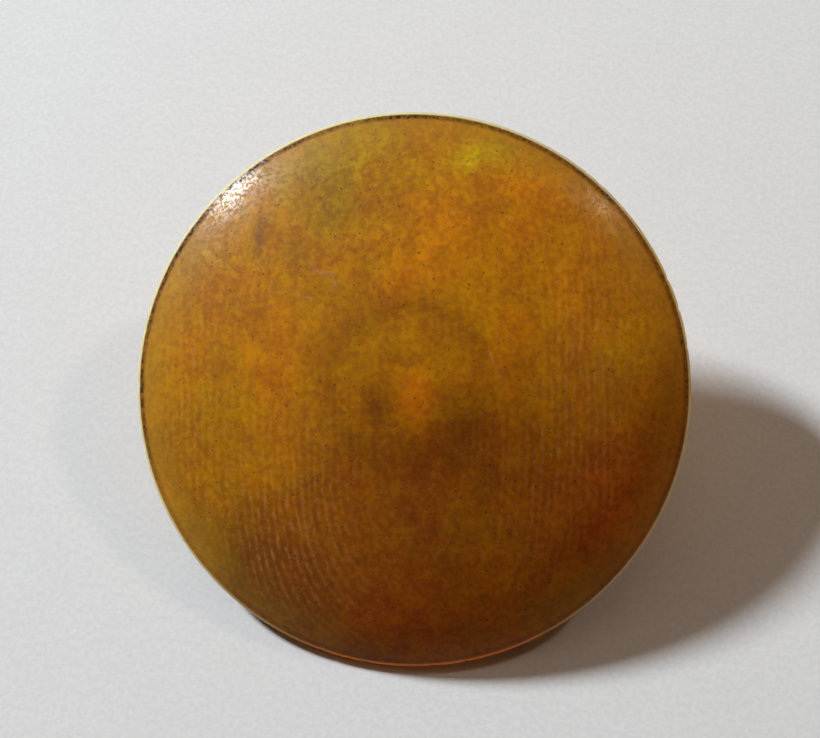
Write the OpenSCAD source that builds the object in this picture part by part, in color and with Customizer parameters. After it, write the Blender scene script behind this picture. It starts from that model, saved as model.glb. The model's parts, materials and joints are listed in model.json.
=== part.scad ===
// Domed horn coat button with a wire loop shank, lying face up on a table.
// It leans on the low side of its rim and on the end of its shank.
// Origin: centre of the footprint on the table. +Z is up, and the lean lowers the -Y side.

/* [Disc] */
// Diameter over the rim (45 ligne)
disc_d = 28.6; // [24:0.1:34]
// Radius of the broad curve over the crown
crown_r = 40; // [36:1:60]
// How far the crown's curve runs before the shoulder takes over, in degrees
crown_angle = 16; // [8:1:16]
// Radius of the tighter curve round the shoulder
shoulder_r = 12.2; // [12:0.1:15]
// Radius of the worn round on the rim, half the rim's thickness
edge_r = 0.3; // [0.2:0.05:0.45]

/* [Boss] */
// Diameter of the moulded boss on the back
boss_d = 8.4; // [8.2:0.1:10]
// How far the boss stands off the back
boss_h = 0.7; // [0.5:0.05:0.9]
// Round on the boss's lower corner
boss_round = 0.35; // [0.1:0.05:0.4]
// Fillet between the boss and the back
boss_fillet = 0.4; // [0.1:0.05:0.6]

/* [Shank] */
// Diameter of the brass wire
wire_d = 1.0; // [0.8:0.05:1.2]
// Distance between the centres of the two legs
leg_pitch = 3.6; // [3.2:0.1:4]
// How far the legs are set off the middle of the boss, towards the low side.
// Past about a third of the eye's radius the button would twist round as it lies.
shank_offset = 0.3; // [0:0.1:0.5]
// Radius of the outward bend under each leg, on the wire's centre line
neck_r = 0.8; // [0.7:0.05:1]
// Radius of the eye, on the wire's centre line
eye_r = 2.05; // [2:0.05:2.6]
// Straight length of leg that shows between the boss and the bend
leg_free = 0.6; // [0.4:0.05:0.8]
// Depth of each leg's end above the back's plane, inside the disc
leg_sunk = 1.1; // [0.6:0.1:1.4]
// Swelling of the wire at each change of bend, which joins its stretches
knuckle = 0.02; // [0.015:0.005:0.03]

/* [Cement] */
// Diameter of the two drilled holes that take the legs
hole_d = 1.7; // [1.4:0.1:2]
// Cement above the end of each leg
cement_over = 0.2; // [0.1:0.05:0.4]
// Height of the cement's collar proud of the boss
collar_h = 0.14; // [0.05:0.01:0.2]
// Width of the collar's foot on the boss, beyond the wire
collar_w = 0.55; // [0.36:0.01:0.6]

/* [Hidden] */
$fn = 96;
over = 1;

HORN = [0.63, 0.4, 0.06];
BRASS = [0.69, 0.55, 0.29];
CEMENT = [0.27, 0.16, 0.08];

disc_r = disc_d / 2;
boss_r = boss_d / 2;
wire_r = wire_d / 2;
hole_r = hole_d / 2;
leg_x = leg_pitch / 2;
hole_top = leg_sunk + cement_over;

// The three curves of the face run into one another: crown, shoulder, then the round on the rim.
edge_centre = [disc_r - edge_r, edge_r];
shoulder_angle = asin((edge_centre.x - (crown_r - shoulder_r) * sin(crown_angle)) / (shoulder_r - edge_r));
shoulder_centre = edge_centre - (shoulder_r - edge_r) * [sin(shoulder_angle), cos(shoulder_angle)];
crown_centre = shoulder_centre - (crown_r - shoulder_r) * [sin(crown_angle), cos(crown_angle)];
disc_t = crown_centre.y + crown_r;
crown_x = crown_r * sin(crown_angle);

// The legs bend outwards into the eye, and the two curves meet at the same slope.
bend_z = -boss_h - leg_free;
neck_x = leg_x + neck_r;
neck_angle = acos(neck_x / (neck_r + eye_r));
eye_z = bend_z - (neck_r + eye_r) * sin(neck_angle);
tip_z = eye_z - eye_r;

// Each stretch of wire stops just inside the knuckle at its end.
seat = 0.05;

// The table touches the round of the rim and the round of the wire, which sets the lean.
support = [edge_centre.x - shank_offset, edge_centre.y - tip_z];
lean = atan2(support.y, support.x) + asin((wire_r - edge_r) / norm(support));
stand_y = edge_r * sin(lean);
stand_z = edge_r + edge_centre.x * sin(lean) - edge_r * cos(lean);

// Sets a piece drawn square to the disc down on the table, as the button lies.
module as_it_lies() {
    translate([0, stand_y, stand_z])
        rotate([lean, 0, 0])
            children();
}

// Sets a piece drawn round the shank's own middle in its place on the boss.
module off_centre() {
    translate([0, -shank_offset, 0]) children();
}

// Half of the disc's section: flat back, domed face, round rim.
module face_profile() {
    intersection() {
        translate(crown_centre) circle(crown_r);
        square([crown_x, disc_t]);
    }
    intersection() {
        translate(shoulder_centre) circle(shoulder_r);
        translate([crown_x, 0]) square([edge_centre.x - crown_x, disc_t]);
    }
    intersection() {
        translate(shoulder_centre) circle(shoulder_r);
        polygon([
            edge_centre,
            edge_centre + over * [sin(shoulder_angle), cos(shoulder_angle)],
            edge_centre + over * [0, 1]
        ]);
    }
    translate(edge_centre) circle(edge_r);
}

// Half of the boss's section, with a rounded foot and a fillet into the back.
module boss_profile() {
    translate([0, -boss_h]) square([boss_r - boss_round, boss_h]);
    translate([0, boss_round - boss_h]) square([boss_r, boss_h - boss_round]);
    translate([boss_r - boss_round, boss_round - boss_h]) circle(boss_round);
    difference() {
        translate([boss_r, -boss_fillet]) square(boss_fillet);
        translate([boss_r + boss_fillet, -boss_fillet]) circle(boss_fillet);
    }
}

// Room for one leg and its cement, drilled up from the boss, open below.
module leg_hole(side) {
    translate([side * leg_x, 0, -boss_h - over])
        cylinder(r = hole_r, h = hole_top + boss_h + over);
}

// One straight leg of the shank, from its sunk end to the start of the bend.
module leg(side) {
    translate([side * leg_x, 0, bend_z + seat])
        cylinder(r = wire_r, h = leg_sunk - bend_z - seat);
}

// A stretch of round wire bent about a centre in the XZ plane.
module wire_bend(x, z, radius, from, sweep) {
    inset = seat / radius * 180 / PI;
    translate([x, 0, z])
        rotate([90, 0, 0])
            rotate_extrude(angle = sweep - 2 * inset, start = from + inset)
                translate([radius, 0]) circle(wire_r);
}

// The slight swelling between two stretches of wire.
module wire_knuckle(x, z) {
    translate([x, 0, z]) sphere(wire_r + knuckle);
}

// The cement that fills one hole round its leg, with a low collar on the boss.
module cement_plug(side) {
    difference() {
        union() {
            translate([side * leg_x, 0, -boss_h])
                cylinder(r = hole_r, h = hole_top + boss_h);
            translate([side * leg_x, 0, -boss_h - collar_h])
                cylinder(r1 = wire_r + collar_w / 4, r2 = wire_r + collar_w, h = collar_h);
        }
        leg(side);
    }
}

module horn_disc() {
    color(HORN) as_it_lies() difference() {
        rotate_extrude() {
            face_profile();
            boss_profile();
        }
        off_centre() for (side = [-1, 1]) leg_hole(side);
    }
}

module wire_shank() {
    color(BRASS) as_it_lies() off_centre() union() {
        for (side = [-1, 1]) {
            leg(side);
            wire_knuckle(side * leg_x, bend_z);
            wire_knuckle(side * eye_r * cos(neck_angle), eye_z + eye_r * sin(neck_angle));
        }
        wire_bend(neck_x, bend_z, neck_r, 180, neck_angle);
        wire_bend(-neck_x, bend_z, neck_r, -neck_angle, neck_angle);
        wire_bend(0, eye_z, eye_r, 180 - neck_angle, 180 + 2 * neck_angle);
    }
}

module left_cement_plug() {
    color(CEMENT) as_it_lies() off_centre() cement_plug(-1);
}

module right_cement_plug() {
    color(CEMENT) as_it_lies() off_centre() cement_plug(1);
}

horn_disc();
wire_shank();
left_cement_plug();
right_cement_plug();
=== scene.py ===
"""A worn horn coat button with a wire loop shank, lying face up on white paper.

The disc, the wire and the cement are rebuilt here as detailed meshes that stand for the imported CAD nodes.
Each is made in the disc's own space, with X and Y across the back and Z towards the face, and one matrix
lays them all down as the frame has them.
"""
import json
import math

import bpy
import numpy as np
from bpy.props import FloatProperty, FloatVectorProperty, IntProperty, PointerProperty
from mathutils import Matrix, Vector


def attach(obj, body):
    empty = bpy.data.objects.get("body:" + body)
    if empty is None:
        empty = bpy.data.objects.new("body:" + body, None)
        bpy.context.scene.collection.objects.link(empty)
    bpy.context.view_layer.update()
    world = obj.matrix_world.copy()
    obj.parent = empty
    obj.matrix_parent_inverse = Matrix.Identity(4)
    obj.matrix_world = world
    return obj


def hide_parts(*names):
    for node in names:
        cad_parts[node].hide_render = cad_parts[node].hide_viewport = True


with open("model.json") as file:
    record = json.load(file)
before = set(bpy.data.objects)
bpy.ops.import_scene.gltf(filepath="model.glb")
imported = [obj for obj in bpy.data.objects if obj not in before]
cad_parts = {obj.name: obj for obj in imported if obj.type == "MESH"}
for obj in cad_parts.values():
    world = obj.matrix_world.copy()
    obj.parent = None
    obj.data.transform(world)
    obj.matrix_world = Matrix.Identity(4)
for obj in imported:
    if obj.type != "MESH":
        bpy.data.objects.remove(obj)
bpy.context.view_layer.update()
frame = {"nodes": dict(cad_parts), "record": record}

bl_info = {
    "name": "Horn Shank Button",
    "version": (1, 0, 0),
    "blender": (4, 5, 0),
    "location": "View3D > Sidebar > Button",
    "description": "Builds a worn horn coat button with a wire loop shank, and the paper it lies on",
    "category": "Add Mesh",
}

MM = 0.001
TAU = 2 * math.pi

DISC_SEED = 11
WIRE_SEED = 23
LEFT_CEMENT_SEED = 5
RIGHT_CEMENT_SEED = 8


# ---------------------------------------------------------------- the frame

def mount(name):
    """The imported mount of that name, as its point and its axis."""
    found = next(m for m in frame["record"]["mounts"] if m["name"] == name)
    return Vector(found["pos_m"]), Vector(found["axis"]).normalized()


def lying_matrix():
    """Takes the disc's own space to the row's: its origin is the middle of the back's plane."""
    back_point, back_axis = mount("cloth_face")
    across, up = Vector((1, 0, 0)), -back_axis
    along = up.cross(across)
    reach = [along.dot(v.co) for v in frame["nodes"]["horn_disc"].data.vertices]
    lying = Matrix((across, along, up)).transposed().to_4x4()
    lying.translation = along * (min(reach) + max(reach)) / 2 + up * up.dot(back_point)
    return lying


LYING = lying_matrix()


def own_points(node):
    """A CAD node's vertices in the disc's own space."""
    back = np.array(LYING.inverted())
    points = np.array([v.co for v in frame["nodes"][node].data.vertices])
    return points @ back[:3, :3].T + back[:3, 3]


DISC = own_points("horn_disc")
WIRE = own_points("wire_shank")
PLUG = own_points("right_cement_plug")
DISC_R = float(DISC[:, 0].max())
BOSS_H = float(-DISC[:, 2].min())
LEG_TOP = float(WIRE[:, 2].max())
LEG_END = WIRE[(WIRE[:, 2] > LEG_TOP - 0.01 * MM) & (WIRE[:, 0] > 0)]
LEG_X = float((LEG_END[:, 0].max() + LEG_END[:, 0].min()) / 2)
WIRE_R = float((LEG_END[:, 0].max() - LEG_END[:, 0].min()) / 2)
HOLE_TOP = float(PLUG[:, 2].max())
HOLE_R = float(np.abs(PLUG[PLUG[:, 2] > HOLE_TOP - 0.01 * MM][:, 0] - LEG_X).max())
COLLAR_R = float(np.abs(PLUG[:, 0] - LEG_X).max())
COLLAR_Z = float(PLUG[:, 2].min())
TIP_Z = float(WIRE[:, 2].min())
SHANK_Y = float((WIRE[:, 1].max() + WIRE[:, 1].min()) / 2)
EYE_R = float(WIRE[:, 0].max()) - WIRE_R
EYE_Z = TIP_Z + WIRE_R + EYE_R


# ---------------------------------------------------------------- settings

class DiscSettings(bpy.types.PropertyGroup):
    """Shape and wear of the horn disc."""

    crown_radius: FloatProperty(
        name="Crown radius", description="Radius of the broad curve over the middle of the face",
        default=40 * MM, min=0, unit="LENGTH", precision=4)
    crown_angle: FloatProperty(
        name="Crown angle", description="How far the crown's curve runs before the shoulder",
        default=math.radians(16), unit="ROTATION")
    shoulder_radius: FloatProperty(
        name="Shoulder radius", description="Radius of the tighter curve near the rim",
        default=12.2 * MM, min=0, unit="LENGTH", precision=4)
    edge_radius: FloatProperty(
        name="Rim radius", description="Radius of the worn round on the rim",
        default=0.3 * MM, min=0, unit="LENGTH", precision=5)
    boss_radius: FloatProperty(
        name="Boss radius", description="Radius of the boss on the back",
        default=4.2 * MM, min=0, unit="LENGTH", precision=4)
    boss_round: FloatProperty(
        name="Boss round", description="Round on the boss's lower corner",
        default=0.35 * MM, min=0, unit="LENGTH", precision=5)
    boss_fillet: FloatProperty(
        name="Boss fillet", description="Fillet between the boss and the back",
        default=0.4 * MM, min=0, unit="LENGTH", precision=5)
    segments: IntProperty(
        name="Segments", description="Steps round the disc", default=640, min=64)
    waviness: FloatProperty(
        name="Waviness", description="Height of the hand-worked unevenness of the face",
        default=0.004 * MM, min=0, unit="LENGTH", precision=6)
    nicks: IntProperty(
        name="Nicks", description="How many small nicks the rim has", default=70, min=0)
    nick_depth: FloatProperty(
        name="Nick depth", description="Depth of the deepest nick in the rim",
        default=0.05 * MM, min=0, unit="LENGTH", precision=6)
    turning_pitch: FloatProperty(
        name="Turning pitch", description="Spacing of the lathe's rings on the back",
        default=0.42 * MM, min=0, unit="LENGTH", precision=5)
    turning_depth: FloatProperty(
        name="Turning depth", description="Depth of the lathe's rings on the back",
        default=0.006 * MM, min=0, unit="LENGTH", precision=6)
    grain_turn: FloatProperty(
        name="Grain turn", description="How far the horn's grain is turned round the disc from its Y axis",
        default=math.radians(8.2), unit="ROTATION")
    growth_lines: FloatProperty(
        name="Growth lines", description="How many growth lines lie between the middle and the rim",
        default=37, min=1)
    translucency: FloatProperty(
        name="Translucency",
        description="How much light passes straight through, and isn't scattered inside",
        default=0.45, min=0, max=1, subtype="FACTOR")


class ShankSettings(bpy.types.PropertyGroup):
    """Shape of the wire shank."""

    neck_radius: FloatProperty(
        name="Neck radius", description="Radius of the outward bend below each leg",
        default=0.8 * MM, min=0, unit="LENGTH", precision=5)
    sides: IntProperty(name="Sides", description="Steps round the wire", default=40, min=8)
    rings: IntProperty(name="Rings", description="Steps along the wire", default=300, min=40)
    dents: FloatProperty(
        name="Dents", description="Depth of the plier marks and dents",
        default=0.012 * MM, min=0, unit="LENGTH", precision=6)


class CementSettings(bpy.types.PropertyGroup):
    """Shape of the cement round the legs."""

    sides: IntProperty(name="Sides", description="Steps round a plug", default=72, min=16)
    unevenness: FloatProperty(
        name="Unevenness", description="How ragged the squeezed-out collar is, as a part of its width",
        default=0.16, min=0, max=0.5, subtype="FACTOR")


class StageSettings(bpy.types.PropertyGroup):
    """Paper, camera and lamps."""

    paper_size: FloatProperty(
        name="Paper size", description="Side of the sheet of paper",
        default=1.6, min=0.1, unit="LENGTH")
    camera_turn: FloatProperty(
        name="Camera turn", description="How far the camera stands round from the button's low side",
        default=math.radians(8.2), unit="ROTATION")
    camera_height: FloatProperty(
        name="Camera height", description="The camera's angle above the paper",
        default=math.radians(69.5), unit="ROTATION")
    lens: FloatProperty(
        name="Lens", description="Focal length on a 36 mm sensor, in millimetres",
        default=60, min=10)
    disc_share: FloatProperty(
        name="Disc share", description="The disc's width as a part of the picture's width",
        default=0.6755, min=0.05, max=1, subtype="FACTOR")
    aside: FloatProperty(
        name="Aside",
        description="How far the disc sits right of the middle, as a part of the picture's width",
        default=0.0022, subtype="FACTOR")
    below: FloatProperty(
        name="Below",
        description="How far the disc sits below the middle, as a part of the picture's width",
        default=0.0239, subtype="FACTOR")
    key_power: FloatProperty(
        name="Key power", description="Power of the main lamp", default=4.85, min=0, unit="POWER")
    glow_power: FloatProperty(
        name="Window glow", description="Power of the broad warm light round the main lamp",
        default=0.10, min=0, unit="POWER")
    ceiling_power: FloatProperty(
        name="Ceiling power", description="Power of the broad warm light overhead",
        default=1.2, min=0, unit="POWER")
    right_power: FloatProperty(
        name="Right fill", description="Power of the weak lamp on the right",
        default=0.29, min=0, unit="POWER")
    room_light: FloatProperty(
        name="Room light", description="Strength of the even light from the room",
        default=0.025, min=0)
    key_turn: FloatProperty(
        name="Key turn", description="Direction of the main lamp round the button, from +X",
        default=math.radians(149.7), unit="ROTATION")
    key_height: FloatProperty(
        name="Key height", description="The main lamp's angle above the paper",
        default=math.radians(29.9), unit="ROTATION")
    paper_color: FloatVectorProperty(
        name="Paper", description="Colour of the paper", subtype="COLOR", size=3,
        default=(0.84, 0.835, 0.83), min=0, max=1)


# ---------------------------------------------------------------- meshes

# How far apart the points of the disc's half section lie.
CROWN_STEP = 0.13 * MM
SHOULDER_STEP = 0.08 * MM
RIM_STEP = 0.05 * MM
BACK_STEP = 0.14 * MM
CORNER_STEP = 0.08 * MM
BOSS_STEP = 0.16 * MM

# How far above the rim the face's unevenness takes to reach its full height.
FACE_FADE = 0.4 * MM
# How far inside the rim the lathe's rings stop.
RING_MARGIN = 0.8 * MM
# How far in from the rim a nick reaches, and the height on the rim above which nicks lie.
NICK_REACH = 0.35 * MM
NICK_FLOOR = 0.1 * MM
NICK_WIDTH = 0.06
NICK_SPREAD = 0.22

DRILL_SIDES = 72
# How far the drill starts below the boss.
DRILL_START = 1 * MM

# Steps along one leg, along one neck and round the eye.
LEG_STEPS = 24
NECK_STEPS = 10
EYE_STEPS = 90
# The wire inside the horn is a touch thin, which keeps it off the cement.
SUNK_SHARE = 0.998
# How far from its end the wire starts to round off, and how much it loses there.
END_ROUND = 0.12 * MM
END_LOSS = 0.35

# How far the cement's end, its wall and its bore stand clear of the horn and the wire.
END_GAP = 0.004 * MM
WALL_GAP = 0.002 * MM
BORE_GAP = 0.001 * MM
# How far the collar always reaches past its hole.
COLLAR_LIP = 0.02 * MM

def mesh_object(name, points, faces):
    """A smooth-shaded mesh, given in the disc's own space and laid down as the button lies."""
    laid = np.array(LYING)
    points = np.asarray(points) @ laid[:3, :3].T + laid[:3, 3]
    mesh = bpy.data.meshes.new(name)
    mesh.from_pydata([tuple(p) for p in points], [], faces)
    mesh.validate()
    mesh.update()
    mesh.shade_smooth()
    made = bpy.data.objects.new(name, mesh)
    bpy.context.scene.collection.objects.link(made)
    return made


def tube_faces(rings, sides, closed_ends=True):
    """Faces of rings x sides points that run ring by ring, with a fan's centre point at each end."""
    faces = []
    for i in range(rings - 1):
        for j in range(sides):
            k = (j + 1) % sides
            faces.append((i * sides + j, i * sides + k, (i + 1) * sides + k, (i + 1) * sides + j))
    if closed_ends:
        first, last = rings * sides, rings * sides + 1
        for j in range(sides):
            k = (j + 1) % sides
            faces.append((first, k, j))
            faces.append((last, (rings - 1) * sides + j, (rings - 1) * sides + k))
    return faces


def arc(centre, radius, start, end, step):
    """Points on an arc in the half section, angles from straight up towards the rim."""
    count = max(2, round(abs(end - start) * radius / step))
    angles = np.linspace(start, end, count + 1)
    return [(centre[0] + radius * math.sin(a), centre[1] + radius * math.cos(a)) for a in angles]


def line(start, end, step):
    """Points on a straight stretch of the half section."""
    count = max(1, round(math.dist(start, end) / step))
    return [tuple(np.array(start) + (np.array(end) - np.array(start)) * t)
            for t in np.linspace(0, 1, count + 1)]


def disc_section(s):
    """The disc's half section from the middle of the face, over the rim, to the middle of the boss."""
    edge = (DISC_R - s.edge_radius, s.edge_radius)
    gap = s.shoulder_radius - s.edge_radius
    reach = s.crown_radius - s.shoulder_radius
    turn = math.asin((edge[0] - reach * math.sin(s.crown_angle)) / gap)
    shoulder = (edge[0] - gap * math.sin(turn), edge[1] - gap * math.cos(turn))
    crown = (shoulder[0] - reach * math.sin(s.crown_angle), shoulder[1] - reach * math.cos(s.crown_angle))
    foot = (s.boss_radius + s.boss_fillet, 0)
    corner = (s.boss_radius - s.boss_round, s.boss_round - BOSS_H)
    section = arc(crown, s.crown_radius, 0, s.crown_angle, CROWN_STEP)
    section += arc(shoulder, s.shoulder_radius, s.crown_angle, turn, SHOULDER_STEP)[1:]
    section += arc(edge, s.edge_radius, turn, math.pi, RIM_STEP)[1:]
    section += line((edge[0], 0), foot, BACK_STEP)[1:]
    section += arc((foot[0], -s.boss_fillet), s.boss_fillet, 0, -math.pi / 2, CORNER_STEP)[1:]
    section += arc(corner, s.boss_round, math.pi / 2, math.pi, CORNER_STEP)
    section += line((corner[0], -BOSS_H), (0, -BOSS_H), BOSS_STEP)[1:]
    return np.array(section)


def waves(x, y, rng, count, longest, shortest):
    """A smooth random field of about unit height, from waves of random direction and length."""
    total = np.zeros_like(x)
    for _ in range(count):
        length = longest * (shortest / longest) ** rng.random()
        turn, phase = rng.random(2) * TAU
        total += np.sin((x * math.cos(turn) + y * math.sin(turn)) * TAU / length + phase)
    return total / math.sqrt(count / 2)


def build_disc(s):
    """The horn disc: a turned body with an uneven face, nicked rim, lathe rings and two drilled holes."""
    rng = np.random.default_rng(DISC_SEED)
    section = disc_section(s)
    angle = np.arange(s.segments) * TAU / s.segments
    r, a = np.meshgrid(section[1:-1, 0], angle, indexing="ij")
    z = np.repeat(section[1:-1, 1:2], s.segments, axis=1)
    x, y = r * np.cos(a), r * np.sin(a)
    on_face = np.clip((z - 2 * s.edge_radius) / FACE_FADE, 0, 1)
    uneven = waves(x, y, rng, count=40, longest=6 * MM, shortest=0.8 * MM)
    z = z - on_face * s.waviness * (1 + uneven / 2)
    on_back = (np.abs(z) < 0.001 * MM) & (r < DISC_R - RING_MARGIN)
    wander = 0.3 * np.sin(a + 1.3)
    z = z + on_back * s.turning_depth * (1 + np.sin(r / s.turning_pitch * TAU + wander)) / 2
    near_rim = np.exp(-((r - DISC_R) / NICK_REACH) ** 2) * (z > NICK_FLOOR)
    dent = np.zeros_like(r)
    for _ in range(s.nicks):
        where = rng.random() * TAU
        width = (NICK_WIDTH + NICK_SPREAD * rng.random() ** 2) * MM
        depth = rng.random() ** 2
        apart = np.abs((a - where + math.pi) % TAU - math.pi) * DISC_R
        dent = np.maximum(dent, depth * np.exp(-(apart / width) ** 2))
    z = z - dent * near_rim * s.nick_depth
    shrink = 1 - dent * near_rim * s.nick_depth / DISC_R
    points = np.stack([x * shrink, y * shrink, z], axis=2).reshape(-1, 3)
    ends = np.array([[0, 0, section[0, 1] - s.waviness], [0, 0, section[-1, 1]]])
    faces = [tuple(reversed(f)) for f in tube_faces(len(section) - 2, s.segments)]
    disc = mesh_object("horn_disc_worn", np.vstack([points, ends]), faces)
    for side in (-1, 1):
        cut_hole(disc, side * LEG_X)
    return disc


def cut_hole(disc, x):
    """Drills one blind hole up through the boss."""
    angle = np.arange(DRILL_SIDES) * TAU / DRILL_SIDES
    across = x + HOLE_R * np.cos(angle)
    along = SHANK_Y + HOLE_R * np.sin(angle)
    mouth = -BOSS_H - DRILL_START
    rings = [np.stack([across, along, np.full(DRILL_SIDES, z)], axis=1) for z in (mouth, HOLE_TOP)]
    ends = [[x, SHANK_Y, mouth], [x, SHANK_Y, HOLE_TOP]]
    drill = mesh_object("drill", np.vstack([*rings, ends]), tube_faces(2, DRILL_SIDES))
    cut = disc.modifiers.new("hole", "BOOLEAN")
    cut.operation = "DIFFERENCE"
    cut.solver = "MANIFOLD"
    cut.object = drill
    with bpy.context.temp_override(object=disc, active_object=disc, selected_objects=[disc]):
        bpy.ops.object.modifier_apply(modifier=cut.name)
    spare = drill.data
    bpy.data.objects.remove(drill)
    bpy.data.meshes.remove(spare)


def shank_path(s):
    """The wire's centre line, from the left leg's end round the eye to the right leg's end."""
    neck_x = LEG_X + s.neck_radius
    turn = math.acos(neck_x / (s.neck_radius + EYE_R))
    bend_z = EYE_Z + (s.neck_radius + EYE_R) * math.sin(turn)
    left = [(-LEG_X, z) for z in np.linspace(LEG_TOP, bend_z, LEG_STEPS)[:-1]]
    left += [(-neck_x + s.neck_radius * math.cos(-b), bend_z + s.neck_radius * math.sin(-b))
             for b in np.linspace(0, turn, NECK_STEPS)[:-1]]
    eye = [(EYE_R * math.cos(b), EYE_Z + EYE_R * math.sin(b))
           for b in np.linspace(math.pi - turn, TAU + turn, EYE_STEPS)]
    right = [(-px, pz) for px, pz in reversed(left)]
    return np.array(left + eye + right)


def build_shank(s):
    """The wire shank: one bent wire with plier marks at its bends."""
    rng = np.random.default_rng(WIRE_SEED)
    path = shank_path(s)
    step = np.linalg.norm(np.diff(path, axis=0), axis=1)
    along = np.concatenate([[0], np.cumsum(step)])
    at = np.linspace(0, along[-1], s.rings)
    px, pz = np.interp(at, along, path[:, 0]), np.interp(at, along, path[:, 1])
    tx, tz = np.gradient(px), np.gradient(pz)
    norm = np.hypot(tx, tz)
    tx, tz = tx / norm, tz / norm
    angle = np.arange(s.sides) * TAU / s.sides
    ring, turn = np.meshgrid(at, angle, indexing="ij")
    uneven = waves(ring, turn * WIRE_R, rng, count=24, longest=4 * MM, shortest=0.5 * MM)
    radius = WIRE_R - s.dents * np.clip(0.6 + 0.5 * uneven, 0, 2)
    radius[pz > -BOSS_H] = WIRE_R * SUNK_SHARE
    from_end = np.minimum(at, at[-1] - at)
    taper = np.clip(from_end / END_ROUND, 0, 1)
    radius *= np.sqrt(1 - END_LOSS * (1 - taper[:, None]) ** 2)
    out, up = radius * np.cos(turn), radius * np.sin(turn)
    x = px[:, None] - tz[:, None] * out
    z = pz[:, None] + tx[:, None] * out
    points = np.stack([x, SHANK_Y + up, z], axis=2).reshape(-1, 3)
    caps = np.array([[px[0], SHANK_Y, pz[0]], [px[-1], SHANK_Y, pz[-1]]])
    return mesh_object("wire_shank_bent", np.vstack([points, caps]), tube_faces(s.rings, s.sides))


def build_cement(s, side, seed):
    """One plug of cement: it fills its hole round the leg and ends in a ragged collar on the boss."""
    rng = np.random.default_rng(seed)
    angle = np.arange(s.sides) * TAU / s.sides
    ragged = sum(rng.random() / k * np.sin(k * angle + rng.random() * TAU) for k in (1, 2, 3, 5, 8))
    ragged = np.clip(1 - s.unevenness * (1 + ragged), 0.45, 1)
    width = COLLAR_R - WIRE_R
    height = -BOSS_H - COLLAR_Z
    wall = HOLE_R - WALL_GAP
    bore = WIRE_R + BORE_GAP
    cap = WIRE_R * 0.6
    top_z = HOLE_TOP - END_GAP
    roof_z = LEG_TOP + END_GAP
    profile = [(WIRE_R, COLLAR_Z + 0.02 * height, 0.0), (WIRE_R + 0.12 * width, COLLAR_Z, 0.3)]
    profile += [(WIRE_R + width * t, -BOSS_H - height * (1 - t) ** 2, 1.0)
                for t in np.linspace(0.25, 0.97, 8)]
    profile += [(COLLAR_R, -BOSS_H, 1.0), (wall, -BOSS_H, 0.0)]
    profile += [(wall, z, 0.0) for z in np.linspace(-BOSS_H, top_z, 10)[1:]]
    profile += [(cap, top_z, 0.0)]
    under = [(cap, roof_z, 0.0)]
    under += [(bore, z, 0.0) for z in np.linspace(roof_z, COLLAR_Z + 0.05 * height, 12)]
    rings = []
    for radius, z, loose in profile + under:
        if radius > WIRE_R:
            spread = WIRE_R + (radius - WIRE_R) * (1 - loose + loose * ragged)
        else:
            spread = np.full(s.sides, radius)
        if loose == 1.0 and radius > HOLE_R + COLLAR_LIP:
            spread = np.maximum(spread, HOLE_R + COLLAR_LIP)
        rings.append(np.stack([side * LEG_X + spread * np.cos(angle), SHANK_Y + spread * np.sin(angle),
                               np.full(s.sides, z)], axis=1))
    count = len(rings)
    cap_ring = len(profile) - 1
    faces = [face for i, face in enumerate(tube_faces(count, s.sides, closed_ends=False))
             if i // s.sides != cap_ring]
    middles = [[side * LEG_X, SHANK_Y, top_z], [side * LEG_X, SHANK_Y, roof_z]]
    points = np.vstack([*rings, middles])
    top, roof = count * s.sides, count * s.sides + 1
    above, below, last = cap_ring * s.sides, (cap_ring + 1) * s.sides, (count - 1) * s.sides
    for j in range(s.sides):
        k = (j + 1) % s.sides
        faces.append((top, above + j, above + k))
        faces.append((roof, below + k, below + j))
        faces.append((last + j, last + k, k, j))
    return mesh_object(f"{'left' if side < 0 else 'right'}_cement_set", points, faces)


# ---------------------------------------------------------------- material tools

class Graph:
    """Adds nodes to a node tree and joins them, so a material reads as a list of steps."""

    def __init__(self, tree):
        self.tree = tree

    def node(self, kind, inputs=(), **options):
        made = self.tree.nodes.new(kind)
        for key, value in options.items():
            setattr(made, key, value)
        for key, value in dict(inputs).items():
            self.set(made.inputs[key], value)
        return made

    def join(self, value, socket):
        self.tree.links.new(value, socket)

    def set(self, socket, value):
        if isinstance(value, bpy.types.NodeSocket):
            self.join(value, socket)
        elif socket.type == "RGBA" and len(value) == 3:
            socket.default_value = (*value, 1.0)
        else:
            socket.default_value = value

    def math(self, operation, *values, clamp=False):
        made = self.node("ShaderNodeMath", dict(enumerate(values)), operation=operation, use_clamp=clamp)
        return made.outputs[0]

    def vector(self, operation, *values):
        return self.node("ShaderNodeVectorMath", dict(enumerate(values)), operation=operation).outputs[0]

    def length(self, value):
        return self.node("ShaderNodeVectorMath", {0: value}, operation="LENGTH").outputs["Value"]

    def ramp(self, value, low, high, to_low=0.0, to_high=1.0):
        limits = {"Value": value, "From Min": low, "From Max": high, "To Min": to_low, "To Max": to_high}
        made = self.node("ShaderNodeMapRange", limits, interpolation_type="SMOOTHSTEP")
        return made.outputs["Result"]

    def noise(self, position, scale, detail, roughness):
        return self.node("ShaderNodeTexNoise", {"Vector": position, "Scale": scale, "Detail": detail,
                                                "Roughness": roughness})

    def mix(self, factor, first, second, blend_type="MIX"):
        made = self.node("ShaderNodeMix", data_type="RGBA", blend_type=blend_type)
        for socket, value in zip((made.inputs[0], made.inputs[6], made.inputs[7]), (factor, first, second)):
            self.set(socket, value)
        return made.outputs[2]


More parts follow.
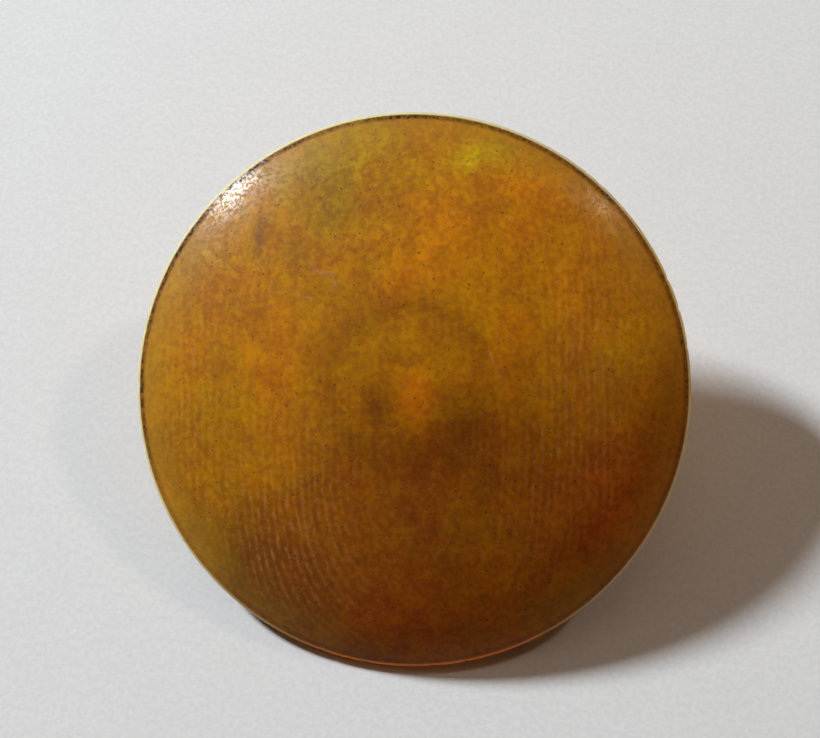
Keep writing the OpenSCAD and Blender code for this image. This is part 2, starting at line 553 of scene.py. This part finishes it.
def new_material(name):
    """An empty material with its output, its graph and its Principled shader."""
    material = bpy.data.materials.new(name)
    material.use_nodes = True
    material.node_tree.nodes.clear()
    graph = Graph(material.node_tree)
    output = graph.node("ShaderNodeOutputMaterial")
    shader = graph.node("ShaderNodeBsdfPrincipled")
    material.node_tree.links.new(shader.outputs["BSDF"], output.inputs["Surface"])
    return material, graph, shader


def feed(graph, shader, **sockets):
    """Sets or joins the shader's sockets, named with underscores for spaces."""
    for key, value in sockets.items():
        graph.set(shader.inputs[key.replace("_", " ")], value)


def own_space(g, turn, unit):
    """The shading point in the disc's own space: X and Y across the disc, Z towards the face."""
    turned = LYING.to_3x3() @ Matrix.Rotation(turn, 3, "Z")
    spot = g.node("ShaderNodeTexCoord").outputs["Object"]
    return g.node("ShaderNodeMapping",
                  {"Vector": spot, "Location": LYING.translation, "Rotation": turned.to_euler(),
                   "Scale": (unit, unit, unit)},
                  vector_type="TEXTURE").outputs["Vector"]


def new_group(name, inputs, outputs):
    """An empty node group with named sockets: its graph, the sockets that come in and those that go out."""
    tree = bpy.data.node_groups.new(name, "ShaderNodeTree")
    for label, kind, value in inputs:
        socket = tree.interface.new_socket(name=label, in_out="INPUT", socket_type=f"NodeSocket{kind}")
        socket.default_value = value
    for label in outputs:
        tree.interface.new_socket(name=label, in_out="OUTPUT", socket_type="NodeSocketFloat")
    g = Graph(tree)
    return g, g.node("NodeGroupInput").outputs, g.node("NodeGroupOutput").inputs


def soft_patch_group():
    """A soft oval patch: one in its middle, fading to nothing past its size."""
    inputs = (("Position", "Vector", (0, 0, 0)), ("Centre", "Vector", (0, 0, 0)),
              ("Turn", "Vector", (0, 0, 0)), ("Size", "Vector", (1, 1, 1)))
    g, come, go = new_group("soft_patch", inputs, ("Mask",))
    within = g.node("ShaderNodeMapping",
                    {"Vector": come["Position"], "Location": come["Centre"], "Rotation": come["Turn"],
                     "Scale": come["Size"]}, vector_type="TEXTURE").outputs["Vector"]
    away = g.length(within)
    g.join(g.math("EXPONENT", g.math("MULTIPLY", g.math("MULTIPLY", away, away), -1.0)), go["Mask"])
    return g.tree


def speckle_group():
    """Scattered round specks of random size."""
    inputs = (("Position", "Vector", (0, 0, 0)), ("Scale", "Float", 10.0), ("Size", "Float", 0.3))
    g, come, go = new_group("speckle", inputs, ("Mask",))
    cell = g.node("ShaderNodeTexVoronoi", {"Vector": come["Position"], "Scale": come["Scale"]})
    chance = g.node("ShaderNodeSeparateColor", {0: cell.outputs["Color"]}).outputs[0]
    radius = g.math("MULTIPLY", g.math("MULTIPLY", chance, chance), come["Size"])
    g.join(g.ramp(cell.outputs["Distance"], g.math("MULTIPLY", radius, 0.4), radius, 1.0, 0.0), go["Mask"])
    return g.tree


def mottle_group():
    """Cloudy unevenness between nothing and one, in several sizes at once."""
    inputs = (("Position", "Vector", (0, 0, 0)), ("Scale", "Float", 5.0), ("Spread", "Float", 0.15))
    g, come, go = new_group("mottle", inputs, ("Mask",))
    cloud = g.noise(come["Position"], come["Scale"], 3.0, 0.6).outputs["Fac"]
    low = g.math("SUBTRACT", 0.5, come["Spread"])
    high = g.math("ADD", 0.5, come["Spread"])
    g.join(g.ramp(cloud, low, high), go["Mask"])
    return g.tree


GROUPS = {"soft_patch": soft_patch_group, "speckle": speckle_group, "mottle": mottle_group}


def effect(g, name, **inputs):
    """Places one of the shared groups, which is built the first time, and gives its mask."""
    tree = bpy.data.node_groups.get(name) or GROUPS[name]()
    placed = g.node("ShaderNodeGroup", node_tree=tree)
    for key, value in inputs.items():
        g.set(placed.inputs[key], value)
    return placed.outputs["Mask"]


# ---------------------------------------------------------------- materials

# The horn's tones, as light comes through it.
AMBER = (0.9, 0.4, 0.001)
DULL_YELLOW = (0.7, 0.4, 0.002)
OLIVE = (0.5, 0.4, 0.002)
LEMON = (0.9, 0.8, 0.002)
GOLD = (0.9, 0.5, 0.005)
CLEAR_ORANGE = (1.0, 0.45, 0.001)
RUST = (0.9, 0.2, 0.01)
RED_BROWN = (0.7, 0.2, 0.02)
DEEP_BROWN = (0.5, 0.12, 0.005)
DARK_BROWN = (0.4, 0.15, 0.02)

# What lies on the horn: its layers' ends, dirt and damage, and painted light and shade: a sheen by the rim,
# a bright rim, a glow on its low edge and the boss's shade.
LINE_COLOR = (1.00, 0.60, 0.15)
DUST_COLOR = (0.90, 0.56, 0.07)
PIT_COLOR = (0.10, 0.040, 0.010)
BRUISE_COLOR = (0.22, 0.085, 0.045)
SCUFF_COLOR = (0.70, 0.55, 0.30)
SHEEN_AND_HAZE_COLOR = (0.36, 0.285, 0.025)
GRIME_COLOR = (0.012, 0.007, 0.004)
PALE_RIM_LIGHT = (0.94, 0.84, 0.48)
LIT_EDGE = (0.90, 0.26, 0.02)
EDGE_GLOW = (0.11, 0.016, 0.001)
BOSS_SHADE = (0.42, 0.130, 0.004)

# Half depth of a patch in the horn, more than enough to run right through the disc.
PATCH_DEPTH = 9.0

# Cloudy patches in the horn, on the unit disc: middle, half size, colour and strength. They hold the horn's
# own mottling and also painted light and shade: brighter yellow towards the upper left, where lit paper
# shows through, darker brown towards the bottom, and a painted dark shade at the lower left.
HORN_TONES_AND_SHADE = (
    ((-0.45, 0.35), (0.60, 0.60), DULL_YELLOW, 0.55),
    ((-0.28, 0.75), (0.22, 0.22), OLIVE, 0.65),
    ((-0.10, 0.62), (0.20, 0.40), DULL_YELLOW, 0.45),
    ((0.10, 0.50), (0.30, 0.22), CLEAR_ORANGE, 0.80),
    ((-0.45, 0.10), (0.20, 0.30), CLEAR_ORANGE, 0.70),
    ((0.55, 0.35), (0.30, 0.35), AMBER, 0.55),
    ((0.82, 0.00), (0.22, 0.35), GOLD, 0.70),
    ((0.72, -0.44), (0.22, 0.24), RUST, 0.70),
    ((0.15, -0.25), (0.34, 0.12), DEEP_BROWN, 0.60),
    ((0.42, -0.62), (0.28, 0.22), AMBER, 0.65),
    ((-0.05, -0.84), (0.42, 0.20), RUST, 0.65),
    ((-0.40, -0.66), (0.30, 0.22), RED_BROWN, 0.60),
    ((-0.75, -0.30), (0.16, 0.40), DULL_YELLOW, 0.55),
    ((0.02, -0.45), (0.26, 0.20), RED_BROWN, 0.50),
    ((-0.62, -0.62), (0.22, 0.20), DARK_BROWN, 0.45),
    ((0.25, 0.83), (0.14, 0.055), LEMON, 0.90),
)

# Painted shade and light round the shank's legs, on the unit disc: dark spots where the legs' shade shows
# through the horn, and a painted bright orange glow between them; middle, half size, colour and strength.
LEG_SHADE_AND_GLOW = (
    ((0.16, -0.14), (0.10, 0.07), (0.42, 0.120, 0.004), 0.60),
    ((-0.10, -0.08), (0.040, 0.055), (0.32, 0.085, 0.004), 0.60),
    ((-0.03, 0.10), (0.11, 0.03), (0.42, 0.130, 0.004), 0.55),
    ((0.02, -0.03), (0.065, 0.085), (1.20, 0.42, 0.001), 1.00),
)

# Painted shade: the dark ring that the boss's edge makes through the horn, on the unit disc: middle, radius
# and half width.
BOSS_RING = ((-0.02, 0.03), 0.27, 0.045)

# Where the growth lines show, on the unit disc: middle, half size and strength.
LINE_PLACES = (
    ((-0.42, -0.53), (0.20, 0.34), 0.9),
    ((0.62, -0.05), (0.14, 0.40), 0.8),
    ((-0.76, -0.05), (0.12, 0.35), 0.3),
    ((0.42, -0.45), (0.12, 0.25), 0.5),
)

# Scuffs that catch the light, on the unit disc: middle, turn in degrees, half length and half width.
SCUFFS = (
    ((-0.30, 0.38), -62, 0.060, 0.007),
    ((-0.35, 0.31), -55, 0.045, 0.006),
    ((0.27, 0.10), -50, 0.040, 0.006),
    ((0.31, 0.05), -60, 0.025, 0.005),
    ((-0.93, 0.30), 60, 0.020, 0.008),
)


def flat(place, depth=0.0):
    """A point on the unit disc as a vector."""
    return (*place, depth)


def growth_lines(g, grain, drift, fray, count):
    """The horn's layers where they meet the face: pale lines in tall nested ovals, and where they show."""
    wavy = g.vector("MULTIPLY_ADD", drift, (0.05, 0.05, 0.0), grain)
    wavy = g.vector("MULTIPLY_ADD", fray, (0.014, 0.014, 0.0), wavy)
    across = g.node("ShaderNodeSeparateXYZ", {0: wavy}).outputs
    side = g.math("MULTIPLY", across["X"], across["X"])
    tall = g.math("MULTIPLY", g.math("POWER", g.math("ABSOLUTE", across["Y"]), 4.0), 0.25)
    oval = g.math("SQRT", g.math("ADD", side, tall))
    wave = g.math("SINE", g.math("MULTIPLY", oval, TAU * count))
    drawn_out = g.vector("MULTIPLY", grain, (60.0, 20.0, 20.0))
    broken = g.ramp(g.noise(drawn_out, 1.0, 4.0, 0.75).outputs["Fac"], 0.36, 0.66)
    shows = 0.08
    for place, size, strength in LINE_PLACES:
        patch = effect(g, "soft_patch", Position=grain, Centre=flat(place), Size=flat(size, PATCH_DEPTH))
        shows = g.math("MULTIPLY_ADD", patch, strength, shows)
    line_mask = g.math("MULTIPLY", g.ramp(wave, -0.5, 0.9), broken)
    return g.math("MULTIPLY", line_mask, shows, clamp=True)


def horn_material(s):
    """Worn translucent horn: cloudy amber with painted light and shade, growth lines, pits, scuffs, a
    gritty line, a painted sheen, a painted bright rim and a painted glow at its low edge.
    """
    material, g, shader = new_material("worn_horn")
    grain = own_space(g, s.grain_turn, DISC_R)
    middle = (0.5, 0.5, 0.5)
    drift = g.vector("SUBTRACT", g.noise(grain, 2.6, 3.0, 0.55).outputs["Color"], middle)
    fray = g.vector("SUBTRACT", g.noise(grain, 11.0, 3.0, 0.6).outputs["Color"], middle)
    bent = g.vector("MULTIPLY_ADD", drift, (0.30, 0.30, 0.0), grain)
    bent = g.vector("MULTIPLY_ADD", fray, (0.10, 0.10, 0.0), bent)

    color = AMBER
    # The horn's mottling, with painted light towards the upper left and painted shade towards the bottom.
    for place, size, shade, strength in HORN_TONES_AND_SHADE:
        patch = effect(g, "soft_patch", Position=bent, Centre=flat(place), Size=flat(size, PATCH_DEPTH))
        color = g.mix(g.math("MULTIPLY", patch, strength), color, shade)
    cloud = effect(g, "mottle", Position=bent, Scale=5.5, Spread=0.13)
    color = g.mix(g.math("MULTIPLY", cloud, 0.60), color, (0.74, 0.56, 0.80), "MULTIPLY")
    green = effect(g, "mottle", Position=g.vector("ADD", bent, (5.3, 2.2, 0.0)), Scale=6.5, Spread=0.12)
    color = g.mix(g.math("MULTIPLY", green, 0.55), color, (0.84, 1.04, 1.10), "MULTIPLY")
    drawn_out = g.vector("MULTIPLY", grain, (1.0, 0.35, 1.0))
    streak = effect(g, "mottle", Position=drawn_out, Scale=26.0, Spread=0.13)
    color = g.mix(g.math("MULTIPLY", streak, 0.55), color, (0.78, 0.64, 0.80), "MULTIPLY")

    close = g.vector("MULTIPLY_ADD", fray, (0.10, 0.10, 0.0), grain)
    # Painted shade of the boss's edge, a dark ring seen through the horn.
    around, radius, width = BOSS_RING
    from_ring = g.vector("SUBTRACT", g.vector("MULTIPLY", close, (1, 1, 0)), flat(around))
    off_ring = g.math("SUBTRACT", g.length(from_ring), radius)
    ring = g.math("EXPONENT", g.math("MULTIPLY", g.math("MULTIPLY", off_ring, off_ring), -1 / width ** 2))
    color = g.mix(g.math("MULTIPLY", ring, 0.34), color, BOSS_SHADE)
    # Painted shade where the legs show through the horn, and a painted orange glow between them.
    for place, size, shade, strength in LEG_SHADE_AND_GLOW:
        leg_shade = effect(g, "soft_patch", Position=close, Centre=flat(place), Size=flat(size, PATCH_DEPTH))
        color = g.mix(g.math("MULTIPLY", leg_shade, strength), color, shade)

    lines = growth_lines(g, grain, drift, fray, s.growth_lines)
    color = g.mix(g.math("MULTIPLY", lines, 0.75), color, LINE_COLOR)
    tooth = effect(g, "mottle", Position=grain, Scale=46.0, Spread=0.14)
    color = g.mix(g.math("MULTIPLY", tooth, 0.70), color, (0.66, 0.50, 0.60), "MULTIPLY")
    dust = effect(g, "speckle", Position=grain, Scale=60.0, Size=0.34)
    color = g.mix(g.math("MULTIPLY", dust, 0.40), color, DUST_COLOR)
    pits = effect(g, "speckle", Position=g.vector("ADD", grain, (3.1, 1.7, 0.4)), Scale=58.0, Size=0.34)
    color = g.mix(g.math("MULTIPLY", pits, 0.80), color, PIT_COLOR)
    bruise = effect(g, "soft_patch", Position=bent, Centre=(-0.537, 0.53, 0), Turn=(0, 0, math.radians(-4)),
                    Size=(0.022, 0.065, PATCH_DEPTH))
    color = g.mix(g.math("MULTIPLY", bruise, 0.6), color, BRUISE_COLOR)

    scuffs = 0.0
    for place, turn, length, width in SCUFFS:
        mark = effect(g, "soft_patch", Position=bent, Centre=flat(place), Turn=(0, 0, math.radians(turn)),
                      Size=(length, width, PATCH_DEPTH))
        scuffs = g.math("MAXIMUM", scuffs, mark)
    color = g.mix(g.math("MULTIPLY", scuffs, 0.30), color, SCUFF_COLOR)

    axes = g.node("ShaderNodeSeparateXYZ", {0: grain}).outputs
    on_face = g.ramp(axes["Z"], 0.012, 0.026)
    out = g.length(g.vector("MULTIPLY", grain, (1.0, 1.0, 0.0)))
    low_side = g.ramp(axes["Y"], -0.70, -0.95)
    upper = g.ramp(axes["Y"], -0.60, 0.10, 0.35, 1.0)
    gritty = effect(g, "mottle", Position=grain, Scale=70.0, Spread=0.15)
    comes = effect(g, "mottle", Position=grain, Scale=5.0, Spread=0.12)
    # Painted sheen along the outer band of the face, weaker on the low side, together with a pale worn
    # haze.
    sheen_and_haze = g.math("MULTIPLY", g.ramp(out, 0.80, 0.99), g.math("MULTIPLY_ADD", low_side, -0.35, 0.50))
    color = g.mix(sheen_and_haze, color, SHEEN_AND_HAZE_COLOR)
    band = g.math("MULTIPLY", g.ramp(out, 0.962, 0.978), g.ramp(out, 0.985, 0.990, 1.0, 0.0))
    thick = g.math("MULTIPLY_ADD", gritty, 0.50, 0.55)
    patchy = g.math("MULTIPLY_ADD", comes, 0.3, 0.8)
    grime = g.math("MULTIPLY", g.math("MULTIPLY", band, on_face), thick)
    grime = g.math("MULTIPLY", g.math("MULTIPLY", grime, upper), patchy)
    color = g.mix(grime, color, GRIME_COLOR)
    # Painted light on the rim: pale yellow where its round catches the light, and orange-red on the low
    # side where light led through the horn shows.
    edge = g.math("MULTIPLY", g.ramp(out, 0.986, 0.992), on_face)
    color = g.mix(edge, color, g.mix(low_side, PALE_RIM_LIGHT, LIT_EDGE))
    color = g.mix(1.0, color, (0.96, 0.96, 0.96), "DARKEN")
    # Painted light: the lowest part of the rim glows faintly, for light led through the horn to its edge.
    lowest = g.ramp(axes["Y"], -0.86, -0.97)
    glow = g.mix(g.math("MULTIPLY", edge, lowest), (0.0, 0.0, 0.0), EDGE_GLOW)

    polish = effect(g, "mottle", Position=g.vector("ADD", grain, (1.3, 4.1, 0.0)), Scale=85.0, Spread=0.11)
    rough = g.math("MULTIPLY_ADD", tooth, 0.10, 0.42)
    rough = g.math("MULTIPLY_ADD", cloud, 0.06, rough)
    rough = g.math("MULTIPLY_ADD", grime, 0.25, rough)
    relief = g.math("MULTIPLY_ADD", pits, -1.2, g.noise(grain, 70.0, 3.0, 0.6).outputs["Fac"])
    bumps = g.node("ShaderNodeBump", {"Height": relief, "Strength": 1.0, "Distance": 0.009 * MM})
    feed(g, shader, Base_Color=color, Roughness=rough, Normal=bumps.outputs["Normal"], IOR=1.33,
         Transmission_Weight=s.translucency, Subsurface_Weight=1.0, Subsurface_Radius=(1.0, 0.45, 0.08),
         Subsurface_Scale=3 * MM, Specular_IOR_Level=0.12, Coat_Weight=g.math("MULTIPLY", polish, 0.30),
         Coat_Roughness=0.23, Emission_Color=glow, Emission_Strength=1.0)
    return material


def brass_material():
    """Tarnished brass wire, dull and brown, with bare metal where it rubs on the table."""
    material, g, shader = new_material("tarnished_brass")
    spot = own_space(g, 0.0, MM)
    patina = effect(g, "mottle", Position=spot, Scale=1.6, Spread=0.14)
    color = g.mix(patina, (0.56, 0.36, 0.13), (0.30, 0.185, 0.070))
    spots = effect(g, "speckle", Position=spot, Scale=4.5, Size=0.45)
    color = g.mix(g.math("MULTIPLY", spots, 0.7), color, (0.07, 0.05, 0.03))
    height = g.node("ShaderNodeSeparateXYZ", {0: spot}).outputs["Z"]
    worn = g.ramp(height, (TIP_Z + 0.35 * MM) / MM, TIP_Z / MM)
    color = g.mix(g.math("MULTIPLY", worn, 0.8), color, (0.68, 0.47, 0.19))
    fine = g.noise(g.vector("MULTIPLY", spot, (6.0, 22.0, 6.0)), 1.0, 3.0, 0.6).outputs["Fac"]
    rough = g.math("MULTIPLY_ADD", patina, 0.25, g.math("MULTIPLY_ADD", fine, 0.15, 0.20))
    relief = g.math("MULTIPLY_ADD", spots, -0.6, fine)
    bumps = g.node("ShaderNodeBump", {"Height": relief, "Strength": 1.0, "Distance": 0.006 * MM})
    feed(g, shader, Base_Color=color, Metallic=1.0, Roughness=rough, Normal=bumps.outputs["Normal"])
    return material


def cement_material():
    """Dark brown cement, grainy and dull."""
    material, g, shader = new_material("brown_cement")
    spot = own_space(g, 0.0, MM)
    lumps = effect(g, "mottle", Position=spot, Scale=2.4, Spread=0.18)
    color = g.mix(lumps, (0.050, 0.024, 0.010), (0.115, 0.060, 0.028))
    grit = effect(g, "speckle", Position=spot, Scale=7.0, Size=0.5)
    color = g.mix(g.math("MULTIPLY", grit, 0.6), color, (0.24, 0.16, 0.09))
    fine = g.noise(spot, 14.0, 3.0, 0.6).outputs["Fac"]
    rough = g.math("MULTIPLY_ADD", lumps, 0.20, 0.62)
    relief = g.math("ADD", g.math("MULTIPLY_ADD", grit, 0.7, lumps), fine)
    bumps = g.node("ShaderNodeBump", {"Height": relief, "Strength": 1.0, "Distance": 0.018 * MM})
    feed(g, shader, Base_Color=color, Roughness=rough, Normal=bumps.outputs["Normal"])
    return material


def paper_material(color):
    """White paper with a faint tooth and an uneven tone."""
    material, g, shader = new_material("white_paper")
    across = g.node("ShaderNodeTexCoord").outputs["Object"]
    spot = g.vector("MULTIPLY", across, (1 / MM, 1 / MM, 1 / MM))
    tone = effect(g, "mottle", Position=spot, Scale=0.30, Spread=0.2)
    shade = g.mix(g.math("MULTIPLY", tone, 0.10), color, (0.72, 0.70, 0.68))
    tooth = effect(g, "mottle", Position=spot, Scale=3.6, Spread=0.16)
    shade = g.mix(g.math("MULTIPLY", tooth, 0.40), shade, (0.70, 0.69, 0.69))
    fine = g.noise(spot, 4.0, 3.0, 0.6).outputs["Fac"]
    bumps = g.node("ShaderNodeBump", {"Height": fine, "Strength": 1.0, "Distance": 0.010 * MM})
    feed(g, shader, Base_Color=shade, Roughness=0.9, Specular_IOR_Level=0.2, Normal=bumps.outputs["Normal"])
    return material


# ---------------------------------------------------------------- operators

def finish_piece(piece, material, node):
    """Gives a detailed piece its material, hangs it under the root body and hides the CAD node it stands
    for.
    """
    piece.data.materials.clear()
    piece.data.materials.append(material)
    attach(piece, "root")
    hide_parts(node)


class BUTTON_OT_disc(bpy.types.Operator):
    """Build the worn horn disc with its boss and drilled holes"""

    bl_idname = "button.disc"
    bl_label = "Horn disc"

    def execute(self, context):
        settings = context.scene.button_disc
        finish_piece(build_disc(settings), horn_material(settings), "horn_disc")
        return {"FINISHED"}


class BUTTON_OT_shank(bpy.types.Operator):
    """Build the bent wire shank"""

    bl_idname = "button.shank"
    bl_label = "Wire shank"

    def execute(self, context):
        finish_piece(build_shank(context.scene.button_shank), brass_material(), "wire_shank")
        return {"FINISHED"}


class BUTTON_OT_cement(bpy.types.Operator):
    """Build the cement round both legs"""

    bl_idname = "button.cement"
    bl_label = "Cement plugs"

    def execute(self, context):
        settings = context.scene.button_cement
        material = cement_material()
        finish_piece(build_cement(settings, -1, LEFT_CEMENT_SEED), material, "left_cement_plug")
        finish_piece(build_cement(settings, 1, RIGHT_CEMENT_SEED), material, "right_cement_plug")
        return {"FINISHED"}


# The main lamp's distance, its size and its cool tint.
KEY_DISTANCE = 0.6
KEY_SIZE = 0.077
KEY_TINT = (0.90, 0.98, 1.04)

# The other lamps: name, power setting, turn and height in degrees, distance, size and tint.
SIDE_LAMPS = (
    ("ceiling", "ceiling_power", 110, 50, 0.9, 1.0, (1.0, 0.70, 0.50)),
    ("window_glow", "glow_power", 140, 28, 0.5, 0.5, (1.0, 0.74, 0.58)),
    ("right_fill", "right_power", 45, 40, 0.5, 0.05, (1.0, 0.86, 0.72)),
)

ROOM_TINT = (1.0, 0.70, 0.47)
BACKDROP_STRENGTH = 0.85
SENSOR_WIDTH = 36


def direction(turn, height):
    """The unit vector at an angle round from +X and an angle above the paper."""
    return Vector((math.cos(turn) * math.cos(height), math.sin(turn) * math.cos(height), math.sin(height)))


def area_lamp(name, towards, distance, size, power, color, aim):
    """A round lamp that shines at a point."""
    data = bpy.data.lights.new(name, "AREA")
    data.shape = "DISK"
    data.size = size
    data.energy = power
    data.color = color
    lamp = bpy.data.objects.new(name, data)
    bpy.context.scene.collection.objects.link(lamp)
    lamp.location = aim + towards * distance
    lamp.rotation_mode = "QUATERNION"
    lamp.rotation_quaternion = towards.to_track_quat("Z", "Y")


def room(strength, backdrop):
    """The room: a dim warm light all round, and a plain pale backdrop where the camera sees it."""
    world = bpy.data.worlds.new("room")
    world.use_nodes = True
    world.node_tree.nodes.clear()
    g = Graph(world.node_tree)
    light = g.node("ShaderNodeBackground", {"Color": ROOM_TINT, "Strength": strength})
    seen = g.node("ShaderNodeBackground", {"Color": tuple(backdrop), "Strength": BACKDROP_STRENGTH})
    straight = g.node("ShaderNodeLightPath").outputs["Is Camera Ray"]
    both = g.node("ShaderNodeMixShader", {0: straight, 1: light.outputs[0], 2: seen.outputs[0]})
    g.node("ShaderNodeOutputWorld", {"Surface": both.outputs[0]})
    return world


class BUTTON_OT_stage(bpy.types.Operator):
    """Lay out the paper, the camera and the lamps"""

    bl_idname = "button.stage"
    bl_label = "Paper, camera and lamps"

    def execute(self, context):
        s = context.scene.button_stage
        half = s.paper_size / 2
        mesh = bpy.data.meshes.new("paper")
        corners = [(-half, -half, 0), (half, -half, 0), (half, half, 0), (-half, half, 0)]
        mesh.from_pydata(corners, [], [(0, 1, 2, 3)])
        paper = bpy.data.objects.new("paper", mesh)
        context.scene.collection.objects.link(paper)
        paper.data.materials.append(paper_material(s.paper_color))

        rim_height = context.scene.button_disc.edge_radius
        middle = LYING.translation + LYING.to_3x3() @ Vector((0, 0, rim_height))
        back = direction(s.camera_turn - math.pi / 2, s.camera_height)
        width = 2 * DISC_R / s.disc_share
        camera_data = bpy.data.cameras.new("camera")
        camera_data.sensor_width = SENSOR_WIDTH
        camera_data.lens = s.lens
        camera_data.clip_start = 1 * MM
        camera = bpy.data.objects.new("camera", camera_data)
        context.scene.collection.objects.link(camera)
        camera.rotation_mode = "QUATERNION"
        camera.rotation_quaternion = back.to_track_quat("Z", "Y")
        axes = camera.rotation_quaternion.to_matrix()
        aim = middle - axes.col[0] * (s.aside * width) + axes.col[1] * (s.below * width)
        camera.location = aim + back * (width * s.lens / SENSOR_WIDTH)
        context.scene.camera = camera

        key = direction(s.key_turn, s.key_height)
        area_lamp("key", key, KEY_DISTANCE, KEY_SIZE, s.key_power, KEY_TINT, middle)
        for name, power, turn, height, distance, size, tint in SIDE_LAMPS:
            towards = direction(math.radians(turn), math.radians(height))
            area_lamp(name, towards, distance, size, getattr(s, power), tint, middle)
        context.scene.world = room(s.room_light, s.paper_color)
        context.scene.view_settings.view_transform = "Standard"
        return {"FINISHED"}


class BUTTON_PT_panel(bpy.types.Panel):
    """Lists the settings and the operators"""

    bl_idname = "BUTTON_PT_panel"
    bl_label = "Horn Shank Button"
    bl_space_type = "VIEW_3D"
    bl_region_type = "UI"
    bl_category = "Button"

    def draw(self, context):
        layout = self.layout
        for group_name, group, operator in STEPS:
            box = layout.box()
            settings = getattr(context.scene, group_name)
            for key in group.__annotations__:
                box.prop(settings, key)
            box.operator(operator.bl_idname)


STEPS = (
    ("button_disc", DiscSettings, BUTTON_OT_disc),
    ("button_shank", ShankSettings, BUTTON_OT_shank),
    ("button_cement", CementSettings, BUTTON_OT_cement),
    ("button_stage", StageSettings, BUTTON_OT_stage),
)


def register():
    """Registers the settings, the operators and the panel."""
    for group_name, group, operator in STEPS:
        bpy.utils.register_class(group)
        setattr(bpy.types.Scene, group_name, PointerProperty(type=group))
        bpy.utils.register_class(operator)
    bpy.utils.register_class(BUTTON_PT_panel)


def unregister():
    """Undoes register()."""
    bpy.utils.unregister_class(BUTTON_PT_panel)
    for group_name, group, operator in reversed(STEPS):
        bpy.utils.unregister_class(operator)
        delattr(bpy.types.Scene, group_name)
        bpy.utils.unregister_class(group)


def main():
    """Registers the add-on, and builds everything."""
    register()
    bpy.ops.button.stage()
    bpy.ops.button.disc()
    bpy.ops.button.shank()
    bpy.ops.button.cement()


if __name__ == "__main__":
    main()
